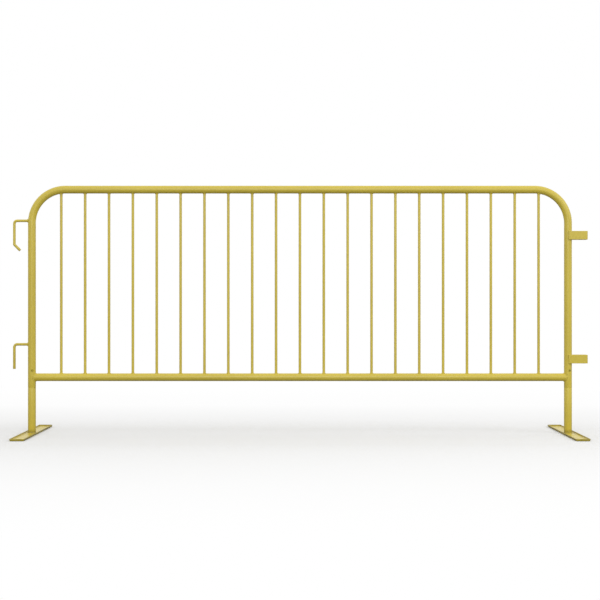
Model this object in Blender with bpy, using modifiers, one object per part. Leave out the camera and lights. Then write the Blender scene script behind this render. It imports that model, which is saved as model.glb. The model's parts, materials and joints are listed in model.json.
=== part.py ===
"""A steel crowd control barrier: a welded tube panel standing on two removable flat feet.

The panel is one bent tube, the hoop, with a bottom rail across it and a row of thin uprights. Rod
hooks on its left post drop into the flat bar loops on the right post of the next barrier. A foot is a
long shallow pan with a short post. The spigot in that post slides up into the hoop's leg, where a
sprung button snaps through the leg's wall.

Metres, +Z up, +X to the right of someone facing the front, and the front faces -Y. The origin is on
the ground below the middle of the panel.
"""

import math

import bmesh
import bpy
from mathutils import Matrix, Vector

INCH = 0.0254
GAP = 0.0003  # between solids that touch on the real barrier

# Panel
TUBE_R = 1.375 * INCH / 2
TUBE_WALL = 0.00165
TUBE_SIDES = 20
POST_X = 1.2073
TOP_RAIL_Z = 1.0990
BOTTOM_RAIL_Z = 0.2540
LEG_END_Z = 0.2077
BEND_R = 0.150
BEND_SEGMENTS = 8

# Uprights
UPRIGHT_COUNT = 21
UPRIGHT_PITCH = 0.1075
UPRIGHT_R = 0.0060
UPRIGHT_WALL = 0.0012
ROD_SIDES = 12

# Hooks, bent from round rod
HOOK_R = 0.0060
HOOK_X = -1.2864
HOOK_ELBOW_R = 0.013
HOOK_ELBOW_SEGMENTS = 5
UPPER_HOOK_Z = 0.9585
UPPER_HOOK_KNEE_Z = 0.8545
HOOK_LIP_REACH = 0.0261
HOOK_KNEE_R = 0.008
HOOK_KNEE_SEGMENTS = 3
LOWER_HOOK_Z = 0.402
LOWER_HOOK_END_Z = 0.2914

# Loops, bent from flat bar
LOOP_THICKNESS = 0.005
LOOP_HEIGHT = 1.5 * INCH
LOOP_REACH_X = 1.2931
LOOP_CORNER_R = 0.009
LOOP_CORNER_SEGMENTS = 4
UPPER_LOOP_Z = 0.8927
LOWER_LOOP_Z = 0.3360

# Feet
FOOT_LENGTH = 24 * INCH
FOOT_WIDTH = 2.5 * INCH
FOOT_HEIGHT = 0.0095
FOOT_PLATE = 0.003
FOOT_BEND_R = 0.006
FOOT_BEND_SEGMENTS = 4
SPIGOT_R = 0.0155
SPIGOT_WALL = 0.002
SPIGOT_BOTTOM_Z = 0.100
SPIGOT_TOP_Z = 0.330

# Snap buttons and their leaf springs
BUTTON_Z = 0.2856
BUTTON_TURN = math.radians(17)  # the buttons point this far to the right of straight ahead
BUTTON_HOLE_R = 0.00515
BUTTON_R = 0.00475
BUTTON_TOP_Y = -0.0210
BUTTON_DOME = 0.0025
BUTTON_DOME_SEGMENTS = 4
BUTTON_FLANGE_R = 0.0062
BUTTON_FLANGE_FRONT_Y = -0.0115
BUTTON_FLANGE_BACK_Y = -0.0103
BUTTON_SIDES = 20
SPRING_THICKNESS = 0.0008
SPRING_WIDTH = 0.008
SPRING_FRONT_Y = -0.0096
SPRING_REAR_Y = 0.0120
SPRING_PAD = 0.008
SPRING_DROP = 0.055
SPRING_FOLD_R = 0.0035
SPRING_FOLD_SEGMENTS = 6

# Meshing
SHARP_ANGLE = math.radians(35)
MERGE_DISTANCE = 0.00001

YELLOW = (0.560, 0.420, 0.065, 1.0)
ZINC = (0.300, 0.290, 0.260, 1.0)


# --- Scene, materials and placing ---------------------------------------------------------------


def clear_scene():
    for obj in list(bpy.data.objects):
        bpy.data.objects.remove(obj, do_unlink=True)


def new_collection(name):
    collection = bpy.data.collections.new(name)
    bpy.context.scene.collection.children.link(collection)
    return collection


def new_material(name, color, metallic, roughness):
    material = bpy.data.materials.new(name)
    material.use_nodes = True
    shader = material.node_tree.nodes["Principled BSDF"]
    shader.inputs["Base Color"].default_value = color
    shader.inputs["Metallic"].default_value = metallic
    shader.inputs["Roughness"].default_value = roughness
    material.diffuse_color = color
    return material


def new_empty(name, location):
    empty = bpy.data.objects.new(name, None)
    empty.location = location
    PARTS.objects.link(empty)
    return empty


def add_part(obj, parent, color, metallic=0.0, roughness=0.4):
    """Puts a finished piece in the barrier's collection, in its own material, under its parent."""
    PARTS.objects.link(obj)
    obj.data.materials.append(new_material(obj.name + "_mat", color, metallic, roughness))
    obj.data.shade_smooth()
    obj.data.set_sharp_from_angle(angle=SHARP_ANGLE)
    obj.parent = parent
    obj.matrix_parent_inverse = Matrix.Translation(parent.location).inverted()
    return obj


def add_cutter(obj):
    CUTTERS.objects.link(obj)
    obj.hide_render = True
    obj.display_type = "WIRE"
    return obj


# --- Shapes --------------------------------------------------------------------------------------


def arc(centre, radius, start, end, segments):
    """Points on an arc in a plane of two coordinates, with its angles in degrees."""
    angles = [math.radians(start + (end - start) * i / segments) for i in range(segments + 1)]
    return [(centre[0] + radius * math.cos(a), centre[1] + radius * math.sin(a)) for a in angles]


def curve_to_mesh(name, curve):
    """Turns a curve into a mesh object whose caps are welded on."""
    source = bpy.data.objects.new(name + "_curve", curve)
    bpy.context.scene.collection.objects.link(source)
    bpy.context.view_layer.update()
    evaluated = source.evaluated_get(bpy.context.evaluated_depsgraph_get())
    mesh = bpy.data.meshes.new_from_object(evaluated)
    mesh.name = name
    bpy.data.objects.remove(source, do_unlink=True)
    bm = bmesh.new()
    bm.from_mesh(mesh)
    bmesh.ops.remove_doubles(bm, verts=bm.verts, dist=MERGE_DISTANCE)
    bm.to_mesh(mesh)
    bm.free()
    return bpy.data.objects.new(name, mesh)


def poly_spline(curve, points, closed):
    spline = curve.splines.new("POLY")
    spline.points.add(len(points) - 1)
    for target, point in zip(spline.points, points):
        target.co = (*point, 1.0)
    spline.use_cyclic_u = closed


def bent_rod(name, path, radius, sides, capped=True):
    """A round bar, or an open skin for a tube, along a path given as (x, z) points."""
    curve = bpy.data.curves.new(name, "CURVE")
    curve.dimensions = "3D"
    poly_spline(curve, [(x, 0.0, z) for x, z in path], closed=False)
    curve.bevel_depth = radius
    curve.bevel_resolution = (sides - 4) // 2
    curve.use_fill_caps = capped
    return curve_to_mesh(name, curve)


def flat_outline(name, points, half_depth, matrix):
    """A closed outline given as two coordinates, extruded both ways and turned by a matrix."""
    curve = bpy.data.curves.new(name, "CURVE")
    curve.dimensions = "2D"
    curve.fill_mode = "BOTH"
    curve.extrude = half_depth
    poly_spline(curve, [(u, v, 0.0) for u, v in points], closed=True)
    obj = curve_to_mesh(name, curve)
    obj.data.transform(matrix)
    return obj


def straight_bar(name, radius, length, sides, capped):
    """A cylinder along Z about its own origin: open ended for a tube, capped for a cutter."""
    mesh = bpy.data.meshes.new(name)
    bm = bmesh.new()
    bmesh.ops.create_cone(
        bm, cap_ends=capped, segments=sides, radius1=radius, radius2=radius, depth=length
    )
    bm.to_mesh(mesh)
    bm.free()
    return bpy.data.objects.new(name, mesh)


def upright_tube(name, x, bottom, top, radius, sides):
    tube = straight_bar(name, radius, top - bottom, sides, capped=False)
    tube.location = (x, 0.0, (bottom + top) / 2)
    return tube


def add_wall(obj, thickness):
    """Gives an open skin its wall, inwards from the skin."""
    wall = obj.modifiers.new("wall", "SOLIDIFY")
    wall.thickness = thickness
    wall.offset = -1.0
    wall.use_even_offset = True


def cut(obj, *cutters):
    for cutter in cutters:
        boolean = obj.modifiers.new("cut_" + cutter.name, "BOOLEAN")
        boolean.operation = "DIFFERENCE"
        boolean.solver = "EXACT"
        boolean.object = cutter


# --- Panel ---------------------------------------------------------------------------------------


def hoop_path():
    """The hoop's centreline: up the left leg, over the top rail and down the right leg."""
    bend_x = POST_X - BEND_R
    bend_z = TOP_RAIL_Z - BEND_R
    left_bend = arc((-bend_x, bend_z), BEND_R, 180, 90, BEND_SEGMENTS)
    right_bend = arc((bend_x, bend_z), BEND_R, 90, 0, BEND_SEGMENTS)
    return [(-POST_X, LEG_END_Z), *left_bend, *right_bend, (POST_X, LEG_END_Z)]


def hoop_z(x):
    """Height of the hoop's centreline above x, along the top rail and into its bends."""
    into_bend = max(0.0, abs(x) - (POST_X - BEND_R))
    return TOP_RAIL_Z - BEND_R + math.sqrt(BEND_R**2 - into_bend**2)


def make_panel_cutters():
    """The hoop and the bottom rail as solid bars, a gap larger, which shape the ends that meet them."""
    hoop = add_cutter(bent_rod("hoop_cutter", hoop_path(), TUBE_R + GAP, TUBE_SIDES))
    rail = add_cutter(
        straight_bar("rail_cutter", TUBE_R + GAP, 2 * POST_X, TUBE_SIDES, capped=True)
    )
    rail.rotation_euler = (0.0, math.radians(90), 0.0)
    rail.location = (0.0, 0.0, BOTTOM_RAIL_Z)
    return hoop, rail


def make_hole_cutter(side, x):
    """A cylinder through a leg's wall and through the spigot inside it, where the button comes out."""
    cutter = add_cutter(
        straight_bar(side + "_hole_cutter", BUTTON_HOLE_R, TUBE_R, BUTTON_SIDES, capped=True)
    )
    cutter.rotation_euler = (math.radians(90), 0.0, BUTTON_TURN)
    cutter.location = (
        x + TUBE_R * math.sin(BUTTON_TURN),
        -TUBE_R * math.cos(BUTTON_TURN),
        BUTTON_Z,
    )
    return cutter


def make_hoop(parent, hole_cutters):
    hoop = bent_rod("frame_hoop", hoop_path(), TUBE_R, TUBE_SIDES, capped=False)
    add_wall(hoop, TUBE_WALL)
    cut(hoop, *hole_cutters)
    add_part(hoop, parent, YELLOW)


def make_bottom_rail(parent, hoop_cutter):
    rail = straight_bar("bottom_rail", TUBE_R, 2 * POST_X, TUBE_SIDES, capped=False)
    rail.rotation_euler = (0.0, math.radians(90), 0.0)
    rail.location = (0.0, 0.0, BOTTOM_RAIL_Z)
    add_wall(rail, TUBE_WALL)
    cut(rail, hoop_cutter)
    add_part(rail, parent, YELLOW)


def make_uprights(parent, hoop_cutter, rail_cutter):
    for i in range(UPRIGHT_COUNT):
        x = (i - (UPRIGHT_COUNT - 1) / 2) * UPRIGHT_PITCH
        name = f"upright_{i + 1:02d}"
        upright = upright_tube(name, x, BOTTOM_RAIL_Z, hoop_z(x), UPRIGHT_R, ROD_SIDES)
        # Half a side round, so that none of its edges runs into an edge of a rail
        upright.rotation_euler = (0.0, 0.0, math.pi / ROD_SIDES)
        add_wall(upright, UPRIGHT_WALL)
        cut(upright, hoop_cutter, rail_cutter)
        add_part(upright, parent, YELLOW)


def hook_elbow(z):
    """From the middle of the post out along the rod and round the elbow, to point down."""
    centre = (HOOK_X + HOOK_ELBOW_R, z - HOOK_ELBOW_R)
    return [(-POST_X, z), *arc(centre, HOOK_ELBOW_R, 90, 180, HOOK_ELBOW_SEGMENTS)]


def make_hooks(parent, hoop_cutter):
    knee = arc(
        (HOOK_X + HOOK_KNEE_R, UPPER_HOOK_KNEE_Z), HOOK_KNEE_R, 180, 225, HOOK_KNEE_SEGMENTS
    )
    run = HOOK_X + HOOK_LIP_REACH - knee[-1][0]
    lip_end = (knee[-1][0] + run, knee[-1][1] - run)
    paths = {
        "upper_hook": [*hook_elbow(UPPER_HOOK_Z), *knee, lip_end],
        "lower_hook": [*hook_elbow(LOWER_HOOK_Z), (HOOK_X, LOWER_HOOK_END_Z)],
    }
    for name, path in paths.items():
        hook = bent_rod(name, path, HOOK_R, ROD_SIDES)
        cut(hook, hoop_cutter)
        add_part(hook, parent, YELLOW)


def loop_outline():
    """The strap seen from above: two arms beside the post, joined past it by a square end."""
    inner_y = TUBE_R + GAP
    outer_y = inner_y + LOOP_THICKNESS
    corner_x = LOOP_REACH_X - LOOP_CORNER_R
    corner_y = outer_y - LOOP_CORNER_R
    inner_corner_r = LOOP_CORNER_R - LOOP_THICKNESS
    return [
        (POST_X, -outer_y),
        *arc((corner_x, -corner_y), LOOP_CORNER_R, -90, 0, LOOP_CORNER_SEGMENTS),
        *arc((corner_x, corner_y), LOOP_CORNER_R, 0, 90, LOOP_CORNER_SEGMENTS),
        (POST_X, outer_y),
        (POST_X, inner_y),
        *arc((corner_x, corner_y), inner_corner_r, 90, 0, LOOP_CORNER_SEGMENTS),
        *arc((corner_x, -corner_y), inner_corner_r, 0, -90, LOOP_CORNER_SEGMENTS),
        (POST_X, -inner_y),
    ]


def make_loops(parent):
    for name, z in (("upper_loop", UPPER_LOOP_Z), ("lower_loop", LOWER_LOOP_Z)):
        loop = flat_outline(name, loop_outline(), LOOP_HEIGHT / 2, Matrix.Identity(4))
        loop.location = (0.0, 0.0, z)
        add_part(loop, parent, YELLOW)


# --- Feet ----------------------------------------------------------------------------------------


def make_foot_base(side, x, parent):
    """A pan pressed from plate: an open box with a low rim all round and rounded bends and corners."""
    name = side + "_foot_base"
    mesh = bpy.data.meshes.new(name)
    bm = bmesh.new()
    size = Matrix.Diagonal((FOOT_WIDTH, FOOT_LENGTH, FOOT_HEIGHT, 1.0))
    bmesh.ops.create_cube(bm, size=1.0, matrix=Matrix.Translation((0.0, 0.0, FOOT_HEIGHT / 2)) @ size)
    top = [face for face in bm.faces if face.normal.z > 0.5]
    bmesh.ops.delete(bm, geom=top, context="FACES_ONLY")
    bm.to_mesh(mesh)
    bm.free()
    base = bpy.data.objects.new(name, mesh)
    base.location = (x, 0.0, 0.0)
    bends = base.modifiers.new("bends", "BEVEL")
    bends.width = FOOT_BEND_R
    bends.segments = FOOT_BEND_SEGMENTS
    add_wall(base, FOOT_PLATE)
    add_part(base, parent, YELLOW)


def make_foot_tubes(side, x, parent, hole_cutter):
    post = upright_tube(
        side + "_foot_post", x, FOOT_PLATE + GAP, LEG_END_Z - GAP, TUBE_R, TUBE_SIDES
    )
    add_wall(post, TUBE_WALL)
    add_part(post, parent, YELLOW)
    spigot = upright_tube(
        side + "_foot_spigot", x, SPIGOT_BOTTOM_Z, SPIGOT_TOP_Z, SPIGOT_R, TUBE_SIDES
    )
    add_wall(spigot, SPIGOT_WALL)
    cut(spigot, hole_cutter)
    add_part(spigot, parent, YELLOW)


# --- Snap buttons --------------------------------------------------------------------------------


def button_profile():
    """Half the button's outline as (radius, height), height being its distance out from the axis."""
    top = -BUTTON_TOP_Y
    shoulder = top - BUTTON_DOME
    turns = [math.radians(90 - 90 * i / BUTTON_DOME_SEGMENTS) for i in range(BUTTON_DOME_SEGMENTS + 1)]
    dome = [(BUTTON_R * math.cos(a), shoulder + BUTTON_DOME * math.sin(a)) for a in turns]
    dome[0] = (0.0, top)
    return [
        *dome,
        (BUTTON_R, -BUTTON_FLANGE_FRONT_Y),
        (BUTTON_FLANGE_R, -BUTTON_FLANGE_FRONT_Y),
        (BUTTON_FLANGE_R, -BUTTON_FLANGE_BACK_Y),
        (0.0, -BUTTON_FLANGE_BACK_Y),
    ]


def make_button(side, x, parent):
    name = side + "_snap_button"
    mesh = bpy.data.meshes.new(name)
    bm = bmesh.new()
    verts = [bm.verts.new((r, 0.0, h)) for r, h in button_profile()]
    for start, end in zip(verts, verts[1:]):
        bm.edges.new((start, end))
    bm.to_mesh(mesh)
    bm.free()
    button = bpy.data.objects.new(name, mesh)
    button.location = (x, 0.0, BUTTON_Z)
    button.rotation_euler = (math.radians(90), 0.0, BUTTON_TURN)
    turn = button.modifiers.new("turn", "SCREW")
    turn.steps = BUTTON_SIDES
    turn.render_steps = BUTTON_SIDES
    turn.use_merge_vertices = True
    turn.merge_threshold = MERGE_DISTANCE
    add_part(button, parent, ZINC, metallic=1.0)


def spring_centreline():
    """The leaf spring from the button's back down to its fold, and up the spigot's rear wall."""
    fold = (0.0, -SPRING_DROP)
    return [
        (SPRING_FRONT_Y, SPRING_PAD),
        (SPRING_FRONT_Y, -SPRING_PAD),
        *arc(fold, SPRING_FOLD_R, 190, 350, SPRING_FOLD_SEGMENTS),
        (SPRING_REAR_Y, -SPRING_PAD),
        (SPRING_REAR_Y, SPRING_PAD),
    ]


def offset_line(points, distance):
    """The line at a distance to the left of an open line, mitred at its corners."""
    line = [Vector(p) for p in points]
    normals = []
    for start, end in zip(line, line[1:]):
        along = (end - start).normalized()
        normals.append(Vector((-along.y, along.x)))
    moved = []
    for i, point in enumerate(line):
        before = normals[max(i - 1, 0)]
        after = normals[min(i, len(normals) - 1)]
        mitre = (before + after).normalized()
        moved.append(point + mitre * distance / mitre.dot(after))
    return [tuple(p) for p in moved]


def make_spring(side, x, parent):
    half = SPRING_THICKNESS / 2
    centre = spring_centreline()
    outline = [*offset_line(centre, half), *reversed(offset_line(centre, -half))]
    to_side = Matrix.Rotation(math.radians(90), 4, "Z") @ Matrix.Rotation(math.radians(90), 4, "X")
    spring = flat_outline(side + "_button_spring", outline, SPRING_WIDTH / 2, to_side)
    spring.location = (x, 0.0, BUTTON_Z)
    spring.rotation_euler = (0.0, 0.0, BUTTON_TURN)
    add_part(spring, parent, ZINC, metallic=1.0)


# --- Barrier -------------------------------------------------------------------------------------


def make_foot(side, x, hole_cutter):
    foot = new_empty(side + "_foot_axis", (x, 0.0, 0.0))
    make_foot_base(side, x, foot)
    make_foot_tubes(side, x, foot, hole_cutter)
    make_spring(side, x, foot)
    button_axis = new_empty(side + "_button_axis", (x, 0.0, BUTTON_Z))
    make_button(side, x, button_axis)


def make_barrier():
    panel = new_empty("panel_axis", (-POST_X, 0.0, LEG_END_Z))
    hoop_cutter, rail_cutter = make_panel_cutters()
    hole_cutters = {side: make_hole_cutter(side, x) for side, x in SIDES.items()}
    make_hoop(panel, hole_cutters.values())
    make_bottom_rail(panel, hoop_cutter)
    make_uprights(panel, hoop_cutter, rail_cutter)
    make_hooks(panel, hoop_cutter)
    make_loops(panel)
    for side, x in SIDES.items():
        make_foot(side, x, hole_cutters[side])


clear_scene()
SIDES = {"left": -POST_X, "right": POST_X}
PARTS = new_collection("crowd_control_barrier")
CUTTERS = new_collection("cutters")
make_barrier()
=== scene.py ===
"""The looks of a steel crowd control barrier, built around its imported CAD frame.

Every tube, rod, strap, pan, button and spring of the CAD is rebuilt here at a fine resolution, with eased
edges and fitted saddle ends. The weld beads that join them on the real barrier are added as geometry, and
all of it gets procedural powder coat, zinc or spring steel. Lengths are in metres.
"""

import json
import math

import bmesh
import bpy
from mathutils import Matrix, Vector


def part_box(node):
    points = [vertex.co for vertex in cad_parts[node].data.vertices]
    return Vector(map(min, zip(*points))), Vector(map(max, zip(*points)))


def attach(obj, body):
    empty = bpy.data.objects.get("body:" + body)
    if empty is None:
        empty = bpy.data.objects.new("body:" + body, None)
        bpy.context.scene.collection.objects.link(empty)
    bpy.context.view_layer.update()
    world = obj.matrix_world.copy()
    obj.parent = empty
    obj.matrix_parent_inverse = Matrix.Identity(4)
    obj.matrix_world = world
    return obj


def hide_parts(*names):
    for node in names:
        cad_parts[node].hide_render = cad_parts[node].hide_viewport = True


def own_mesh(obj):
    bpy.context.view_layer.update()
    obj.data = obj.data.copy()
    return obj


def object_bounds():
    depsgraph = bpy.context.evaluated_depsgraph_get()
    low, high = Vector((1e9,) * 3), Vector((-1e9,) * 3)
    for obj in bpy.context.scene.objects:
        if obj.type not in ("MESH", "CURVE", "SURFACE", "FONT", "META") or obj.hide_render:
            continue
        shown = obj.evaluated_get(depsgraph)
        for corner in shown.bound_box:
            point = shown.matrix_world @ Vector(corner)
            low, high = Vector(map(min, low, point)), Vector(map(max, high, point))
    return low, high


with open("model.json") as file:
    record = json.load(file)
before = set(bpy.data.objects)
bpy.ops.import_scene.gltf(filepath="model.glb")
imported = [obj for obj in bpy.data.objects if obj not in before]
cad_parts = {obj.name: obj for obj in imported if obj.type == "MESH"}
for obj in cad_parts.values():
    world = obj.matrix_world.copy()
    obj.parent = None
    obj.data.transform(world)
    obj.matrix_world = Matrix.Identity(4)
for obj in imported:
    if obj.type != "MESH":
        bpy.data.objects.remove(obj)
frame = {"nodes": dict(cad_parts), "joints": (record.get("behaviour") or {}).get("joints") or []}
cad_lo, cad_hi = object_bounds()

# --- Sizes that the CAD boxes don't give ----------------------------------------------------------

# The gap that the CAD leaves between parts that touch. Where they are welded, the bead covers it.
JOINT_GAP = 0.0003

TUBE_WALL = 0.00165
TUBE_EASE = 0.0004
TUBE_SIDES = 64
BEND_R = 0.150
BEND_SEGMENTS = 40
UPRIGHT_R = 0.0060
UPRIGHT_WALL = 0.0012
UPRIGHT_SIDES = 32

HOOK_R = 0.0060
HOOK_EASE = 0.0012
HOOK_ELBOW_R = 0.013
HOOK_KNEE_R = 0.008
UPPER_HOOK_KNEE_Z = 0.8545
HOOK_LIP_REACH = 0.0261
HOOK_SIDES = 32
HOOK_SEGMENTS = 16

LOOP_THICKNESS = 0.005
LOOP_CORNER_R = 0.009
LOOP_EDGE_R = 0.0008
LOOP_EASE = 0.0005

FOOT_PLATE = 0.003
FOOT_BEND_R = 0.006
FOOT_CORNER_R = 0.0075
FOOT_EDGE_R = 0.0007
SPIGOT_WALL = 0.002
SPIGOT_EASE = 0.0008

BUTTON_HOLE_R = 0.00515
BUTTON_R = 0.00475
BUTTON_DOME = 0.0025
BUTTON_ROOT_EASE = 0.0003
FLANGE_R = 0.0062
FLANGE_EASE = 0.0002
# Distances outwards from the leg's axis.
BUTTON_TIP = 0.0210
FLANGE_FRONT = 0.0115
FLANGE_BACK = 0.0103
BUTTON_SIDES = 32
DOME_SEGMENTS = 12

SPRING_THICKNESS = 0.0008
SPRING_WIDTH = 0.008
SPRING_PAD = 0.008
SPRING_FOLD_R = 0.0035
SPRING_FOLD_DEGREES = (190, 350)
SPRING_EDGE_R = 0.00025
SPRING_EASE = 0.0002
# Distances from the leg's axis to both leaves, the way the button is pressed.
SPRING_FRONT = -0.0096
SPRING_REAR = 0.0120

# Painted shade on the feet, near the floor and round the foot of the post: it sets in over the first pair
# of heights and fades out over the second.
PAINTED_SHADE_RISES = (0.0031, 0.0045)
PAINTED_SHADE_FADES = (0.0095, 0.0240)

ARC_SEGMENTS = 8
EASE_SEGMENTS = 4
SHARP_ANGLE = math.radians(38)

# --- Places from the CAD --------------------------------------------------------------------------

hoop_lo, hoop_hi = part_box("frame_hoop")
rail_lo, rail_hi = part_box("bottom_rail")
TUBE_R = (hoop_hi.y - hoop_lo.y) / 2
POST_X = hoop_hi.x - TUBE_R
TOP_RAIL_Z = hoop_hi.z - TUBE_R
LEG_END_Z = hoop_lo.z
BOTTOM_RAIL_Z = (rail_lo.z + rail_hi.z) / 2
BEND_X = POST_X - BEND_R
BEND_Z = TOP_RAIL_Z - BEND_R
SIDES = {"left": -POST_X, "right": POST_X}
PRESSES = [joint for joint in frame["joints"] if joint["name"].endswith("_press")]
PRESS_AXIS = {joint["child"].split("_")[0]: Vector(joint["axis"]) for joint in PRESSES}

ORIGIN = Vector((0.0, 0.0, 0.0))
ALONG = Vector((1.0, 0.0, 0.0))
ACROSS = Vector((0.0, 1.0, 0.0))
UP = Vector((0.0, 0.0, 1.0))


# --- Materials ------------------------------------------------------------------------------------

# Colour stops: a place in a texture's range, and the linear colour there.
COAT_TONES = [
    (0.30, (0.488, 0.384, 0.043)),
    (0.52, (0.524, 0.414, 0.047)),
    (0.72, (0.558, 0.444, 0.052)),
]
COAT_GRAIN = [(0.36, (0.94, 0.94, 0.93)), (0.64, (1.04, 1.04, 1.03))]
# The painted shade's tint: the coat is multiplied darker and greyer where the shade is full.
PAINTED_SHADE_TINT = [(0.0, (1.0, 1.0, 1.0)), (1.0, (0.58, 0.58, 0.80))]
ZINC_TONES = [(0.30, (0.270, 0.225, 0.028)), (0.70, (0.410, 0.345, 0.048))]
STEEL_TONES = [(0.35, (0.135, 0.140, 0.150)), (0.65, (0.260, 0.262, 0.265))]


def new_material(name):
    material = bpy.data.materials.new(name)
    material.use_nodes = True
    return material, material.node_tree.nodes, material.node_tree.links


def noise(nodes, links, coords, scale, detail=3.0, roughness=0.55, stretch=None):
    """A noise texture on the piece's own coordinates, stretched along an axis if asked."""
    texture = nodes.new("ShaderNodeTexNoise")
    texture.inputs["Scale"].default_value = scale
    texture.inputs["Detail"].default_value = detail
    texture.inputs["Roughness"].default_value = roughness
    if stretch:
        mapping = nodes.new("ShaderNodeMapping")
        mapping.inputs["Scale"].default_value = stretch
        links.new(coords, mapping.inputs["Vector"])
        coords = mapping.outputs["Vector"]
    links.new(coords, texture.inputs["Vector"])
    return texture.outputs["Fac"]


def ramp(nodes, links, factor, stops):
    """A colour ramp through (position, colour) stops."""
    node = nodes.new("ShaderNodeValToRGB")
    elements = node.color_ramp.elements
    while len(elements) < len(stops):
        elements.new(0.5)
    for element, (position, color) in zip(elements, stops):
        element.position = position
        element.color = (*color, 1.0)
    links.new(factor, node.inputs["Fac"])
    return node.outputs["Color"]


def multiply_colors(nodes, links, first, second, share=1.0):
    """The first colour multiplied by the second, in full or by a share."""
    node = nodes.new("ShaderNodeMix")
    node.data_type = "RGBA"
    node.blend_type = "MULTIPLY"
    node.inputs["Factor"].default_value = share
    links.new(first, node.inputs["A"])
    links.new(second, node.inputs["B"])
    return node.outputs["Result"]


def value_range(nodes, links, factor, low, high, start=0.3, end=0.7):
    """Maps a value between start and end, by default a texture's middle range, to low and high."""
    node = nodes.new("ShaderNodeMapRange")
    node.inputs["From Min"].default_value = start
    node.inputs["From Max"].default_value = end
    node.inputs["To Min"].default_value = low
    node.inputs["To Max"].default_value = high
    links.new(factor, node.inputs["Value"])
    return node.outputs["Result"]


def combine(nodes, links, operation, *values):
    """One Math node over the values."""
    node = nodes.new("ShaderNodeMath")
    node.operation = operation
    for value, socket in zip(values, node.inputs):
        links.new(value, socket)
    return node.outputs["Value"]


def bump(nodes, links, height, strength, distance):
    node = nodes.new("ShaderNodeBump")
    node.inputs["Strength"].default_value = strength
    node.inputs["Distance"].default_value = distance
    links.new(height, node.inputs["Height"])
    return node.outputs["Normal"]


def add_painted_shade(nodes, links, coords, color):
    """Painted shade just above the plate, on the pan's rim and round the foot of the post, laid in patches.
    """
    split = nodes.new("ShaderNodeSeparateXYZ")
    links.new(coords, split.inputs["Vector"])
    height = split.outputs["Z"]
    shade_rising = value_range(nodes, links, height, 0.0, 1.0, *PAINTED_SHADE_RISES)
    fading = value_range(nodes, links, height, 1.0, 0.0, *PAINTED_SHADE_FADES)
    blotches = noise(nodes, links, coords, scale=60.0, detail=4.0)
    patches = value_range(nodes, links, blotches, 0.70, 1.0)
    band = combine(nodes, links, "MULTIPLY", shade_rising, fading)
    amount = combine(nodes, links, "MULTIPLY", band, patches)
    return multiply_colors(nodes, links, color, ramp(nodes, links, amount, PAINTED_SHADE_TINT))


def powder_coat(name, with_painted_shade=False):
    """Mustard powder coat: slow drifts of tone, fine speckle, orange peel and a satin gloss that varies."""
    material, nodes, links = new_material(name)
    shader = nodes["Principled BSDF"]
    coords = nodes.new("ShaderNodeTexCoord").outputs["Object"]
    drift = noise(nodes, links, coords, scale=2.6, detail=4.0)
    tone = ramp(nodes, links, drift, COAT_TONES)
    speckle = noise(nodes, links, coords, scale=420.0, detail=2.0)
    grain = ramp(nodes, links, speckle, COAT_GRAIN)
    color = multiply_colors(nodes, links, tone, grain, share=0.55)
    # The feet's coat gets painted shade low down, standing in for the shade near the floor.
    if with_painted_shade:
        color = add_painted_shade(nodes, links, coords, color)
    links.new(color, shader.inputs["Base Color"])
    gloss = noise(nodes, links, coords, scale=14.0, detail=5.0)
    links.new(value_range(nodes, links, gloss, 0.30, 0.44), shader.inputs["Roughness"])
    peel = noise(nodes, links, coords, scale=560.0, detail=1.5)
    peeled = bump(nodes, links, peel, strength=0.22, distance=0.00008)
    links.new(peeled, shader.inputs["Normal"])
    shader.inputs["Specular IOR Level"].default_value = 0.5
    return material


def zinc_plate():
    """Yellow-passivated zinc: an olive metal with cloudy tone and handled, uneven gloss."""
    material, nodes, links = new_material("olive_zinc")
    shader = nodes["Principled BSDF"]
    coords = nodes.new("ShaderNodeTexCoord").outputs["Object"]
    cloud = noise(nodes, links, coords, scale=320.0, detail=5.0)
    links.new(ramp(nodes, links, cloud, ZINC_TONES), shader.inputs["Base Color"])
    links.new(value_range(nodes, links, cloud, 0.34, 0.52), shader.inputs["Roughness"])
    pitting = noise(nodes, links, coords, scale=1500.0, detail=3.0)
    pitted = bump(nodes, links, pitting, strength=0.4, distance=0.00005)
    links.new(pitted, shader.inputs["Normal"])
    shader.inputs["Metallic"].default_value = 0.85
    return material


def spring_steel():
    """Blued spring strip with rolling marks along its length."""
    material, nodes, links = new_material("rolled_spring_steel")
    shader = nodes["Principled BSDF"]
    coords = nodes.new("ShaderNodeTexCoord").outputs["Object"]
    marks = noise(nodes, links, coords, scale=900.0, detail=4.0, stretch=(1.0, 1.0, 0.05))
    links.new(ramp(nodes, links, marks, STEEL_TONES), shader.inputs["Base Color"])
    links.new(value_range(nodes, links, marks, 0.26, 0.42), shader.inputs["Roughness"])
    rolled = bump(nodes, links, marks, strength=0.5, distance=0.00003)
    links.new(rolled, shader.inputs["Normal"])
    shader.inputs["Metallic"].default_value = 1.0
    return material


COAT = powder_coat("mustard_powder_coat")
# The feet's coat, with painted shade just above the plate.
FOOT_COAT = powder_coat("shade_painted_powder_coat", with_painted_shade=True)
ZINC = zinc_plate()
STEEL = spring_steel()


# --- Building meshes ------------------------------------------------------------------------------


def arc(centre, radius, start, end, segments):
    """Points on an arc of two coordinates, with its angles in degrees."""
    angles = [math.radians(start + (end - start) * i / segments) for i in range(segments + 1)]
    return [(centre[0] + radius * math.cos(a), centre[1] + radius * math.sin(a)) for a in angles]


def plane(origin, u, v):
    """The matrix that takes coordinates along u and v, and across both, into the world."""
    axes = Matrix((u, v, u.cross(v))).transposed()
    return Matrix.Translation(origin) @ axes.to_4x4()


XZ_PLANE = plane(ORIGIN, ALONG, UP)


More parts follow.
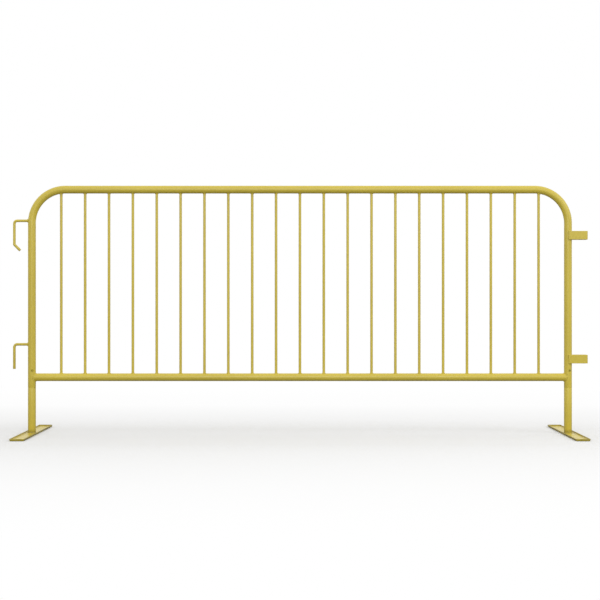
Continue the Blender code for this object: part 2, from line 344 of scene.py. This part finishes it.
def circle(radius, sides):
    """A round section as a function of its inset."""

    def section(inset):
        angles = [2 * math.pi * i / sides for i in range(sides)]
        return [((radius - inset) * math.cos(a), (radius - inset) * math.sin(a)) for a in angles]

    return section


# The corners of a rectangle, anticlockwise: their two signs, and the angle where their arcs start.
CORNERS = ((1, 1, 0), (-1, 1, 90), (-1, -1, 180), (1, -1, 270))


def flat_bar(thickness, width, edge_r):
    """A rectangular section with rounded edges, as a function of its inset."""

    def section(inset):
        points = []
        for right, up, start in CORNERS:
            centre = (right * (thickness / 2 - edge_r), up * (width / 2 - edge_r))
            points += arc(centre, edge_r - inset, start, start + 90, EASE_SEGMENTS)
        return points

    return section


def eased(path, ease):
    """The path as stations (u, v, inset), with both of its ends rounded over a quarter circle."""
    points = [Vector(p) for p in path]

    def end(tip, inward):
        direction = (inward - tip).normalized()
        turns = [math.pi / 2 * i / EASE_SEGMENTS for i in range(EASE_SEGMENTS + 1)]
        stations = []
        for turn in turns:
            spot = tip + direction * ease * (1 - math.sin(turn))
            stations.append((spot.x, spot.y, ease * (1 - math.cos(turn))))
        return stations

    middle = [(p.x, p.y, 0.0) for p in points[1:-1]]
    return [*reversed(end(points[0], points[1])), *middle, *end(points[-1], points[-2])]


def sweep(stations, section, to_world):
    """The rings of a section carried along flat stations, mitred where the path turns."""
    points = [Vector((u, v)) for u, v, _ in stations]
    steps = [(b - a).normalized() for a, b in zip(points, points[1:])]
    rings = []
    for i, (u, v, inset) in enumerate(stations):
        before = steps[max(i - 1, 0)]
        after = steps[min(i, len(steps) - 1)]
        left_before = Vector((-before.y, before.x))
        left_after = Vector((-after.y, after.x))
        mitre = (left_before + left_after).normalized()
        mitre /= mitre.dot(left_after)
        ring = [
            to_world @ Vector((u + mitre.x * side, v + mitre.y * side, across))
            for side, across in section(inset)
        ]
        rings.append(ring)
    return rings


def add_skin(bm, rings, cyclic=False):
    """Adds one closed skin over the rings: cyclic joins the last ring to the first, else both are capped.

    A ring of one point is a pole.
    """
    rows = [[bm.verts.new(p) for p in ring] for ring in rings]
    pairs = list(zip(rows, rows[1:]))
    if cyclic:
        pairs.append((rows[-1], rows[0]))
    for low, high in pairs:
        count = max(len(low), len(high))
        for i in range(count):
            j = (i + 1) % count
            corners = [
                low[i % len(low)],
                low[j % len(low)],
                high[j % len(high)],
                high[i % len(high)],
            ]
            bm.faces.new(list(dict.fromkeys(corners)))
    if not cyclic:
        for row in (rows[0], rows[-1]):
            if len(row) > 1:
                bm.faces.new(row)


def skin(rings, cyclic=False):
    bm = bmesh.new()
    add_skin(bm, rings, cyclic)
    return bm


def to_object(name, bm):
    bmesh.ops.recalc_face_normals(bm, faces=bm.faces)
    mesh = bpy.data.meshes.new(name)
    bm.to_mesh(mesh)
    bm.free()
    obj = bpy.data.objects.new(name, mesh)
    bpy.context.scene.collection.objects.link(obj)
    return obj


def cut(obj, cutters):
    """Subtracts the cutters for good, so that the cut moves with the piece."""
    for cutter in cutters:
        boolean = obj.modifiers.new("cut", "BOOLEAN")
        boolean.operation = "DIFFERENCE"
        boolean.solver = "EXACT"
        boolean.object = cutter
    bpy.context.view_layer.update()
    evaluated = obj.evaluated_get(bpy.context.evaluated_depsgraph_get())
    mesh = bpy.data.meshes.new_from_object(evaluated)
    obj.modifiers.clear()
    obj.data = mesh
    for cutter in cutters:
        bpy.data.objects.remove(cutter, do_unlink=True)


def add_piece(obj, body, material, replaced=(), flat_faces=False):
    """Shades a finished object, gives it its coat and hands it to the frame."""
    obj.data.materials.clear()
    obj.data.materials.append(material)
    obj.data.shade_smooth()
    obj.data.set_sharp_from_angle(angle=SHARP_ANGLE)
    if flat_faces:
        weighted = obj.modifiers.new("flat_faces", "WEIGHTED_NORMAL")
        weighted.keep_sharp = True
    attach(obj, body)
    if replaced:
        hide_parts(*replaced)


# --- Tubes ----------------------------------------------------------------------------------------


def tube_along(path, radius, wall, sides, ease, to_world):
    """An open-ended tube along a flat path, with its rims eased inside and out."""
    outer = sweep(eased(path, ease), circle(radius, sides), to_world)
    bore = radius - wall
    inner_stations = [(u, v, -inset) for u, v, inset in eased(path, ease)]
    inner = sweep(inner_stations, circle(bore, sides), to_world)
    return skin([*outer, *reversed(inner)], cyclic=True)


def fitted_tube(radius, wall, sides, to_world, start, end):
    """A straight tube whose ends are shaped by start and end, functions of a point of its section."""
    rings = []
    for r, shapes in ((radius, (start, end)), (radius - wall, (end, start))):
        points = circle(r, sides)(0.0)
        for shape in shapes:
            rings.append([to_world @ Vector((a, b, shape(a, b))) for a, b in points])
    return skin(rings, cyclic=True)


def beside_post(y):
    """Distance from a post's axis to the surface where a part lying at y meets it."""
    return math.sqrt((TUBE_R + JOINT_GAP) ** 2 - y**2)


def under_hoop(x, y):
    """Height of the hoop's underside above a point of the plan, along the rail and into its bends."""
    inner = BEND_R - math.sqrt((TUBE_R + JOINT_GAP) ** 2 - y**2)
    into_bend = max(0.0, abs(x) - BEND_X)
    return BEND_Z + math.sqrt(inner**2 - into_bend**2)


def over_bottom_rail(y):
    return BOTTOM_RAIL_Z + math.sqrt((TUBE_R + JOINT_GAP) ** 2 - y**2)


def button_z(side):
    low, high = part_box(side + "_snap_button")
    return (low.z + high.z) / 2


def button_axes(side):
    """The point of a leg's axis behind its button, the way the button points and the way across it."""
    centre = Vector((SIDES[side], 0.0, button_z(side)))
    out = -PRESS_AXIS[side]
    return centre, out, out.cross(UP)


def hole_cutter(side):
    """A cylinder through the front of a leg and of the spigot inside it, along the button's axis."""
    to_world = plane(*button_axes(side))
    stations = [(TUBE_R / 2, 0.0, 0.0), (TUBE_R * 1.5, 0.0, 0.0)]
    rings = sweep(stations, circle(BUTTON_HOLE_R, TUBE_SIDES // 2), to_world)
    return to_object(side + "_hole_cutter", skin(rings))


def around_button(side):
    """Heights just under and over the button hole, which keep its cut in short faces."""
    z = button_z(side)
    return z - 2 * BUTTON_HOLE_R, z + 2 * BUTTON_HOLE_R


def make_hoop():
    """One tube from the left leg's end over both bends to the right leg's end, with the button holes."""
    left_low, left_high = around_button("left")
    right_low, right_high = around_button("right")
    path = [
        (-POST_X, LEG_END_Z),
        (-POST_X, left_low),
        (-POST_X, left_high),
        *arc((-BEND_X, BEND_Z), BEND_R, 180, 90, BEND_SEGMENTS),
        *arc((BEND_X, BEND_Z), BEND_R, 90, 0, BEND_SEGMENTS),
        (POST_X, right_high),
        (POST_X, right_low),
        (POST_X, LEG_END_Z),
    ]
    bm = tube_along(path, TUBE_R, TUBE_WALL, TUBE_SIDES, TUBE_EASE, XZ_PLANE)
    hoop = to_object("hoop_tube", bm)
    cut(hoop, [hole_cutter(side) for side in SIDES])
    add_piece(hoop, "panel", COAT, ["frame_hoop"])


def make_rail():
    """The bottom rail, saddle-cut at both ends to lie against the legs."""
    to_world = plane(UP * BOTTOM_RAIL_Z, ACROSS, UP)
    bm = fitted_tube(
        TUBE_R,
        TUBE_WALL,
        TUBE_SIDES,
        to_world,
        lambda y, z: beside_post(y) - POST_X,
        lambda y, z: POST_X - beside_post(y),
    )
    add_piece(to_object("rail_tube", bm), "panel", COAT, ["bottom_rail"])


def upright_nodes():
    return sorted(name for name in frame["nodes"] if name.startswith("upright_"))


def upright_x(node):
    low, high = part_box(node)
    return (low.x + high.x) / 2


def make_uprights():
    """The uprights, each saddle-cut to the bottom rail below it and to the hoop above it."""
    for node in upright_nodes():
        x = upright_x(node)
        to_world = plane(ALONG * x, ALONG, ACROSS)
        bm = fitted_tube(
            UPRIGHT_R,
            UPRIGHT_WALL,
            UPRIGHT_SIDES,
            to_world,
            lambda a, y: over_bottom_rail(y),
            lambda a, y, x=x: under_hoop(x + a, y),
        )
        name = node.replace("upright", "upright_tube")
        add_piece(to_object(name, bm), "panel", COAT, [node])


# --- Hooks and loops ------------------------------------------------------------------------------


def upper_lip(x):
    """The path from the knee under a leg at x, down and back in at 45 degrees to the lip's end."""
    knee = arc((x + HOOK_KNEE_R, UPPER_HOOK_KNEE_Z), HOOK_KNEE_R, 180, 225, HOOK_SEGMENTS)
    knee_x, knee_z = knee[-1]
    run = x + HOOK_LIP_REACH - knee_x
    return [*knee, (knee_x + run, knee_z - run)]


def make_hook(node):
    """A rod from the post out round its elbow and down; the upper one ends in a lip turned back in."""
    low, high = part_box(node)
    x = low.x + HOOK_R
    z = high.z - HOOK_R
    elbow = arc((x + HOOK_ELBOW_R, z - HOOK_ELBOW_R), HOOK_ELBOW_R, 90, 180, HOOK_SEGMENTS)
    path = [(-POST_X, z), *elbow]
    if node == "upper_hook":
        path += upper_lip(x)
    else:
        path.append((x, low.z))
    rings = sweep(eased(path, HOOK_EASE), circle(HOOK_R, HOOK_SIDES), XZ_PLANE)
    root = [Vector((-POST_X - beside_post(p.y), p.y, p.z)) for p in rings[EASE_SEGMENTS]]
    rod = to_object(node + "_rod", skin([root, *rings[EASE_SEGMENTS + 1 :]]))
    add_piece(rod, "panel", COAT, [node])


def make_loop(node):
    """A flat bar bent into a square-ended eye, its two arms lying along the front and back of the post."""
    low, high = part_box(node)
    middle_z = (low.z + high.z) / 2
    to_world = plane(UP * middle_z, ALONG, ACROSS)
    y = high.y - LOOP_THICKNESS / 2
    corner_r = LOOP_CORNER_R - LOOP_THICKNESS / 2
    corner = (high.x - LOOP_CORNER_R, high.y - LOOP_CORNER_R)
    path = [
        (low.x, -y),
        *arc((corner[0], -corner[1]), corner_r, -90, 0, ARC_SEGMENTS),
        *arc(corner, corner_r, 0, 90, ARC_SEGMENTS),
        (low.x, y),
    ]
    section = flat_bar(LOOP_THICKNESS, high.z - low.z, LOOP_EDGE_R)
    rings = sweep(eased(path, LOOP_EASE), section, to_world)
    strap = to_object(node + "_strap", skin(rings))
    add_piece(strap, "panel", COAT, [node], flat_faces=True)


# --- Feet -----------------------------------------------------------------------------------------


def pan_profile(height):
    """The pan's section from under its web, up over the rim and down to the web again, as (inset, z)."""
    rim = height - FOOT_EDGE_R
    inner_r = FOOT_BEND_R - FOOT_PLATE
    bend = (FOOT_BEND_R, FOOT_BEND_R)
    return [
        *arc(bend, FOOT_BEND_R, 270, 180, ARC_SEGMENTS),
        *arc((FOOT_EDGE_R, rim), FOOT_EDGE_R, 180, 90, EASE_SEGMENTS),
        *arc((FOOT_PLATE - FOOT_EDGE_R, rim), FOOT_EDGE_R, 90, 0, EASE_SEGMENTS),
        *arc(bend, inner_r, 180, 270, ARC_SEGMENTS),
    ]


def pan_ring(centre, half_x, half_y, inset, z):
    """The pan's outline at a height, with its corners rounded."""
    reach_x = half_x - FOOT_CORNER_R
    reach_y = half_y - FOOT_CORNER_R
    ring = []
    for right, rear, start in CORNERS:
        corner = (centre.x + right * reach_x, centre.y + rear * reach_y)
        outline = arc(corner, FOOT_CORNER_R - inset, start, start + 90, ARC_SEGMENTS)
        ring += [Vector((x, y, z)) for x, y in outline]
    return ring


def make_foot_base(side):
    """The pan pressed from plate, with a low rim all round."""
    node = side + "_foot_base"
    low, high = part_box(node)
    centre = (low + high) / 2
    half_x = (high.x - low.x) / 2
    half_y = (high.y - low.y) / 2
    rings = [pan_ring(centre, half_x, half_y, inset, z) for inset, z in pan_profile(high.z)]
    base = to_object(side + "_foot_pan", skin(rings))
    add_piece(base, side + "_foot", FOOT_COAT, [node], flat_faces=True)


def make_riser(side):
    """The foot's short post, whose top meets the end of the leg."""
    low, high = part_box(side + "_foot_post")
    path = [(0.0, low.z), (0.0, high.z)]
    to_world = plane(ALONG * SIDES[side], ALONG, UP)
    bm = tube_along(path, TUBE_R, TUBE_WALL, TUBE_SIDES, TUBE_EASE, to_world)
    riser = to_object(side + "_foot_riser", bm)
    add_piece(riser, side + "_foot", FOOT_COAT, [side + "_foot_post"])


def make_spigot(side):
    """The tube that slides up into the leg, with the hole that its button comes out of."""
    low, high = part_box(side + "_foot_spigot")
    radius = (high.y - low.y) / 2
    below, above = around_button(side)
    path = [(0.0, low.z), (0.0, below), (0.0, above), (0.0, high.z)]
    to_world = plane(ALONG * SIDES[side], ALONG, UP)
    bm = tube_along(path, radius, SPIGOT_WALL, TUBE_SIDES, SPIGOT_EASE, to_world)
    spigot = to_object(side + "_spigot_tube", bm)
    cut(spigot, [hole_cutter(side)])
    add_piece(spigot, side + "_foot", COAT, [side + "_foot_spigot"])


# --- Snap buttons ---------------------------------------------------------------------------------


def button_profile():
    """The button's outline from its tip to the back of its flange, as (radius, distance from the axis)."""
    shoulder = BUTTON_TIP - BUTTON_DOME
    dome = arc((0, 0), 1, 90, 0, DOME_SEGMENTS)
    return [
        (0.0, BUTTON_TIP),
        *[(BUTTON_R * c, shoulder + BUTTON_DOME * s) for c, s in dome[1:]],
        (BUTTON_R, FLANGE_FRONT + BUTTON_ROOT_EASE),
        (BUTTON_R + BUTTON_ROOT_EASE, FLANGE_FRONT),
        (FLANGE_R - FLANGE_EASE, FLANGE_FRONT),
        (FLANGE_R, FLANGE_FRONT - FLANGE_EASE),
        (FLANGE_R, FLANGE_BACK + FLANGE_EASE),
        (FLANGE_R - FLANGE_EASE, FLANGE_BACK),
        (0.0, FLANGE_BACK),
    ]


def button_rings(side):
    """The button turned about its own axis: a domed pin with a thin flange behind the spigot's wall."""
    centre, out, across = button_axes(side)
    rings = []
    for radius, distance in button_profile():
        middle = centre + out * distance
        if radius == 0.0:
            rings.append([middle])
        else:
            points = circle(radius, BUTTON_SIDES)(0.0)
            rings.append([middle + across * a + UP * b for a, b in points])
    return rings


def make_button(side):
    pin = to_object(side + "_snap_pin", skin(button_rings(side)))
    add_piece(pin, side + "_button", ZINC, [side + "_snap_button"])


def make_spring(side):
    """The leaf from the button's back down to its fold, and up the spigot's rear wall."""
    node = side + "_button_spring"
    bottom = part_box(node)[0].z
    drop = button_z(side) - bottom - SPRING_FOLD_R - SPRING_THICKNESS / 2
    centre = button_axes(side)[0]
    inward = PRESS_AXIS[side]
    path = [
        (SPRING_FRONT, SPRING_PAD),
        (SPRING_FRONT, -SPRING_PAD),
        *arc((0.0, -drop), SPRING_FOLD_R, *SPRING_FOLD_DEGREES, 2 * ARC_SEGMENTS),
        (SPRING_REAR, -SPRING_PAD),
        (SPRING_REAR, SPRING_PAD),
    ]
    section = flat_bar(SPRING_THICKNESS, SPRING_WIDTH, SPRING_EDGE_R)
    rings = sweep(eased(path, SPRING_EASE), section, plane(centre, inward, UP))
    leaf = to_object(side + "_leaf_spring", skin(rings))
    add_piece(leaf, side + "_foot", STEEL, [node])
    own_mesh(leaf)


# --- Weld beads -----------------------------------------------------------------------------------

RIPPLE_PITCH = 0.0017
RIPPLE_POINTS = 4
RIPPLE_DEPTH = 0.075
RIPPLE_LAG = 1.1
BEAD_SIDES = 10
# Slow swells along a bead: how many in its length, and the share of its radius that they add.
LONG_SWELLS = 2
LONG_SWELL = 0.06
SHORT_SWELLS = 5
SHORT_SWELL = 0.04
# An open bead tapers over this share of its length at each end, down to this share of its section.
TAPER = 0.125
TAPERED_SECTION = 0.02

UPRIGHT_BEAD_R = 0.0023
RAIL_BEAD_R = 0.0032
HOOK_BEAD_R = 0.0027
LOOP_BEAD_R = 0.0024
FOOT_BEAD_R = 0.0030

# How far the middle of a bead lies inside the surface that it goes round.
ROD_BEAD_SINK = 0.0002
RAIL_BEAD_SINK = 0.0008
FOOT_BEAD_SINK = 0.0004
# How far the middle of a foot's bead lies above the pan's web.
FOOT_BEAD_LIFT = 0.0006

# A rail's end on a post is a saddle, longer than a circle, and its bead is thinner at the sides.
SADDLE_STRETCH = 1.2
RAIL_BEAD_THINNING = 0.35

# A loop's bead goes this far along both edges of an arm. It lies a little off the post and off the arm's
# end, and its runs along the edges stand a little further along the arm.
LOOP_BEAD_REACH = 0.0085
LOOP_BEAD_OFF_POST = 0.0002
LOOP_BEAD_OFF_END = 0.0004
LOOP_BEAD_ALONG_ARM = 0.0002

# How the seeds of the uprights' beads differ.
SEED_STEP = 1.7
BOTTOM_SEED_SHIFT = 0.8


def add_bead(bm, route, length, radius, axis, seed, closed=True, thin=None):
    """Adds one rippled bead along route, a function of a share from 0 to 1.

    axis is the direction the bead goes round. thin(share) scales the radius, and an open bead tapers at
    its ends. The seed varies the slow swell of one bead against the next.
    """
    ripples = max(6, round(length / RIPPLE_PITCH))
    count = ripples * RIPPLE_POINTS
    shares = [i / count for i in range(count if closed else count + 1)]
    points = [Vector(route(share)) for share in shares]
    rings = []
    for i, (share, point) in enumerate(zip(shares, points)):
        following = points[(i + 1) % count] if closed else points[min(i + 1, count)]
        leading = points[i - 1] if closed else points[max(i - 1, 0)]
        along = (following - leading).normalized()
        outward = along.cross(axis).normalized()
        upward = outward.cross(along)
        swell = 1 + LONG_SWELL * math.sin(2 * math.pi * LONG_SWELLS * share + seed)
        swell += SHORT_SWELL * math.sin(2 * math.pi * SHORT_SWELLS * share + 2.3 * seed)
        if thin:
            swell *= thin(share)
        if not closed:
            from_end = min(share, 1 - share)
            swell *= math.sqrt(max(TAPERED_SECTION, min(1.0, from_end / TAPER)))
        ring = []
        for k in range(BEAD_SIDES):
            turn = 2 * math.pi * k / BEAD_SIDES
            phase = 2 * math.pi * share * ripples - RIPPLE_LAG * math.cos(turn)
            reach = radius * swell * (1 + RIPPLE_DEPTH * math.cos(phase))
            ring.append(point + (outward * math.cos(turn) + upward * math.sin(turn)) * reach)
        rings.append(ring)
    add_skin(bm, rings, cyclic=closed)


def on_circle(radius, share):
    """The point of a circle at a share of the way round."""
    turn = 2 * math.pi * share
    return radius * math.cos(turn), radius * math.sin(turn)


def make_upright_welds():
    """A bead round each end of every upright, laid in the corner against the rail."""
    radius = UPRIGHT_R - ROD_BEAD_SINK
    length = 2 * math.pi * radius
    top = bmesh.new()
    bottom = bmesh.new()
    for number, node in enumerate(upright_nodes()):
        x = upright_x(node)

        def at_top(share, x=x):
            a, y = on_circle(radius, share)
            return (x + a, y, under_hoop(x + a, y))

        def at_bottom(share, x=x):
            a, y = on_circle(radius, share)
            return (x + a, y, over_bottom_rail(y))

        seed = SEED_STEP * number
        add_bead(top, at_top, length, UPRIGHT_BEAD_R, UP, seed)
        add_bead(bottom, at_bottom, length, UPRIGHT_BEAD_R, UP, seed + BOTTOM_SEED_SHIFT)
    add_piece(to_object("upright_top_welds", top), "panel", COAT)
    add_piece(to_object("upright_bottom_welds", bottom), "panel", COAT)


def make_rail_welds():
    """A bead round each end of the bottom rail, flatter at the sides where both tubes run flush."""
    length = 2 * math.pi * TUBE_R * SADDLE_STRETCH
    for side, x in SIDES.items():
        inward = -math.copysign(1.0, x)

        def route(share, x=x, inward=inward):
            z, y = on_circle(TUBE_R - RAIL_BEAD_SINK, share)
            return (x + inward * beside_post(y), y, BOTTOM_RAIL_Z + z)

        def thin(share):
            return 1.0 - RAIL_BEAD_THINNING * abs(math.sin(2 * math.pi * share))

        bm = bmesh.new()
        add_bead(bm, route, length, RAIL_BEAD_R, ALONG * inward, seed=x, thin=thin)
        add_piece(to_object(f"rail_weld_{side}", bm), "panel", COAT)


def make_hook_welds():
    """A bead round the root of each hook, on the post."""
    radius = HOOK_R - ROD_BEAD_SINK
    for node in ("upper_hook", "lower_hook"):
        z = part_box(node)[1].z - HOOK_R

        def route(share, z=z):
            up, y = on_circle(radius, share)
            return (-POST_X - beside_post(y), y, z + up)

        bm = bmesh.new()
        add_bead(bm, route, 2 * math.pi * radius, HOOK_BEAD_R, -ALONG, seed=z)
        add_piece(to_object(node + "_weld", bm), "panel", COAT)


def make_loop_welds():
    """A bead round the end of each strap arm: along its top edge, down its end and back below it."""
    reach = LOOP_BEAD_REACH
    for node in ("upper_loop", "lower_loop"):
        low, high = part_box(node)
        half = (high.z - low.z) / 2
        middle_z = (low.z + high.z) / 2
        length = 2 * reach + 2 * half
        bm = bmesh.new()
        for face in (-1.0, 1.0):

            def route(share, face=face, half=half, middle_z=middle_z, length=length):
                walked = share * length
                shift = LOOP_BEAD_ALONG_ARM
                if walked < reach:
                    x, z = reach - walked, half
                elif walked < reach + 2 * half:
                    x, z = 0.0, half - (walked - reach)
                    shift = -LOOP_BEAD_OFF_END
                else:
                    x, z = walked - reach - 2 * half, -half
                y = math.sqrt((TUBE_R + LOOP_BEAD_OFF_POST) ** 2 - x**2)
                return (POST_X + x + shift, face * y, middle_z + z)

            axis = ACROSS * face
            add_bead(bm, route, length, LOOP_BEAD_R, axis, seed=face + half, closed=False)
        add_piece(to_object(node + "_welds", bm), "panel", COAT)


def make_foot_weld(side):
    """The bead round the bottom of a foot's post, on the pan."""
    x = SIDES[side]
    radius = TUBE_R - FOOT_BEAD_SINK

    def route(share):
        a, y = on_circle(radius, share)
        return (x + a, y, FOOT_PLATE + FOOT_BEAD_LIFT)

    bm = bmesh.new()
    add_bead(bm, route, 2 * math.pi * radius, FOOT_BEAD_R, UP, seed=x)
    add_piece(to_object(side + "_foot_weld", bm), side + "_foot", FOOT_COAT)


# --- Stage ----------------------------------------------------------------------------------------

FLOOR_SIZE = 60.0
FLOOR_DROP = 0.0002
FLOOR_GREY = 0.70
FLOOR_BOUNCE = 0.22

# How far the floor has faded to white at each depth, as (y, share), and between two distances aside. Where
# the share is 0 the floor is lit grey, and the band this leaves round the barrier is a painted soft shadow;
# where it is 1 the floor glows white.
DEPTH_FADES = (
    (-2.4, 1.0),
    (-1.6, 0.72),
    (-0.7, 0.24),
    (-0.42, 0.0),
    (0.2, 0.02),
    (0.6, 0.44),
    (1.5, 0.92),
    (2.8, 1.0),
)
ASIDE_FADE = (1.8, 3.6)

SURROUND_COLOR = (1.0, 1.0, 0.995, 1.0)
SURROUND_STRENGTH = 1.10
WHITE = (1.0, 1.0, 1.0, 1.0)
LAMP_COLOR = (1.0, 0.995, 0.985)
LAMP_TARGET = (0.0, 0.0, 0.6)

CAMERA_PLACE = (0.0003, -5.55, 0.6017)
CAMERA_LENS_MM = 73.92
CAMERA_SENSOR_MM = 36.0


def grey_diffuse(nodes, grey):
    shader = nodes.new("ShaderNodeBsdfDiffuse")
    shader.inputs["Color"].default_value = (grey, grey, grey, 1.0)
    return shader.outputs["BSDF"]


def mix_shaders(nodes, links, factor, first, second):
    """The first shader where the factor is 0 and the second where it is 1."""
    mix = nodes.new("ShaderNodeMixShader")
    links.new(factor, mix.inputs["Fac"])
    links.new(first, mix.inputs[1])
    links.new(second, mix.inputs[2])
    return mix.outputs["Shader"]


def seen_by_camera(nodes, links, unseen, seen):
    """The second shader to the camera itself, and the first in all light that other surfaces get."""
    path = nodes.new("ShaderNodeLightPath")
    return mix_shaders(nodes, links, path.outputs["Is Camera Ray"], unseen, seen)


def floor_fade(nodes, links):
    """How far the floor's painted soft shadow has faded to white: by its depth, or further out to either
    side.
    """
    coords = nodes.new("ShaderNodeTexCoord").outputs["Object"]
    split = nodes.new("ShaderNodeSeparateXYZ")
    links.new(coords, split.inputs["Vector"])
    near = DEPTH_FADES[0][0]
    far = DEPTH_FADES[-1][0]
    depth = value_range(nodes, links, split.outputs["Y"], 0.0, 1.0, near, far)
    stops = [((y - near) / (far - near), (share, share, share)) for y, share in DEPTH_FADES]
    by_depth = ramp(nodes, links, depth, stops)
    aside = combine(nodes, links, "ABSOLUTE", split.outputs["X"])
    by_side = value_range(nodes, links, aside, 0.0, 1.0, *ASIDE_FADE)
    return combine(nodes, links, "MAXIMUM", by_depth, by_side)


def make_floor():
    """A wide pale floor, with a painted soft shadow where the barrier stands that fades out to glowing
    white round it.

    It looks pale to the camera but throws back little light, as a studio sweep some way below would.
    """
    bm = bmesh.new()
    bmesh.ops.create_grid(bm, x_segments=1, y_segments=1, size=FLOOR_SIZE)
    floor = to_object("studio_floor", bm)
    floor.location.z = cad_lo.z - FLOOR_DROP
    material, nodes, links = new_material("pale_floor")
    nodes.remove(nodes["Principled BSDF"])
    white = nodes.new("ShaderNodeEmission").outputs["Emission"]
    pale = grey_diffuse(nodes, FLOOR_GREY)
    sweep_look = mix_shaders(nodes, links, floor_fade(nodes, links), pale, white)
    bounced = grey_diffuse(nodes, FLOOR_BOUNCE)
    surface = seen_by_camera(nodes, links, bounced, sweep_look)
    links.new(surface, nodes["Material Output"].inputs["Surface"])
    floor.data.materials.append(material)


def make_world():
    """White to the camera; a soft grey-white surround for everything it lights."""
    world = bpy.data.worlds.new("studio")
    bpy.context.scene.world = world
    world.use_nodes = True
    nodes = world.node_tree.nodes
    links = world.node_tree.links
    surround = nodes["Background"]
    surround.inputs["Color"].default_value = SURROUND_COLOR
    surround.inputs["Strength"].default_value = SURROUND_STRENGTH
    backdrop = nodes.new("ShaderNodeBackground")
    backdrop.inputs["Color"].default_value = WHITE
    surface = seen_by_camera(nodes, links, surround.outputs["Background"], backdrop.outputs["Background"])
    links.new(surface, nodes["World Output"].inputs["Surface"])


def add_softbox(name, location, size, power):
    """A rectangular area lamp at a place, turned to the barrier's middle."""
    light = bpy.data.lights.new(name, "AREA")
    light.shape = "RECTANGLE"
    light.size, light.size_y = size
    light.energy = power
    light.color = LAMP_COLOR
    lamp = bpy.data.objects.new(name, light)
    lamp.location = location
    aim = Vector(LAMP_TARGET) - Vector(location)
    lamp.rotation_euler = aim.to_track_quat("-Z", "Y").to_euler()
    bpy.context.scene.collection.objects.link(lamp)


def make_camera():
    """A level camera in front of the panel's middle, with a moderately long lens."""
    camera = bpy.data.objects.new("camera", bpy.data.cameras.new("camera"))
    camera.data.lens = CAMERA_LENS_MM
    camera.data.sensor_width = CAMERA_SENSOR_MM
    camera.location = CAMERA_PLACE
    camera.rotation_euler = (math.radians(90.0), 0.0, 0.0)
    bpy.context.scene.collection.objects.link(camera)
    bpy.context.scene.camera = camera


def make_stage():
    make_floor()
    make_world()
    add_softbox("front_softbox", location=(0.0, -7.0, 2.6), size=(4.0, 3.0), power=150.0)
    add_softbox("key_softbox", location=(4.8, -2.6, 3.0), size=(2.2, 2.2), power=55.0)
    make_camera()
    bpy.context.scene.view_settings.view_transform = "Standard"


# --- Barrier --------------------------------------------------------------------------------------

make_hoop()
make_rail()
make_uprights()
for hook in ("upper_hook", "lower_hook"):
    make_hook(hook)
for loop in ("upper_loop", "lower_loop"):
    make_loop(loop)
for side in SIDES:
    make_foot_base(side)
    make_riser(side)
    make_spigot(side)
    make_button(side)
    make_spring(side)
    make_foot_weld(side)
make_upright_welds()
make_rail_welds()
make_hook_welds()
make_loop_welds()
make_stage()
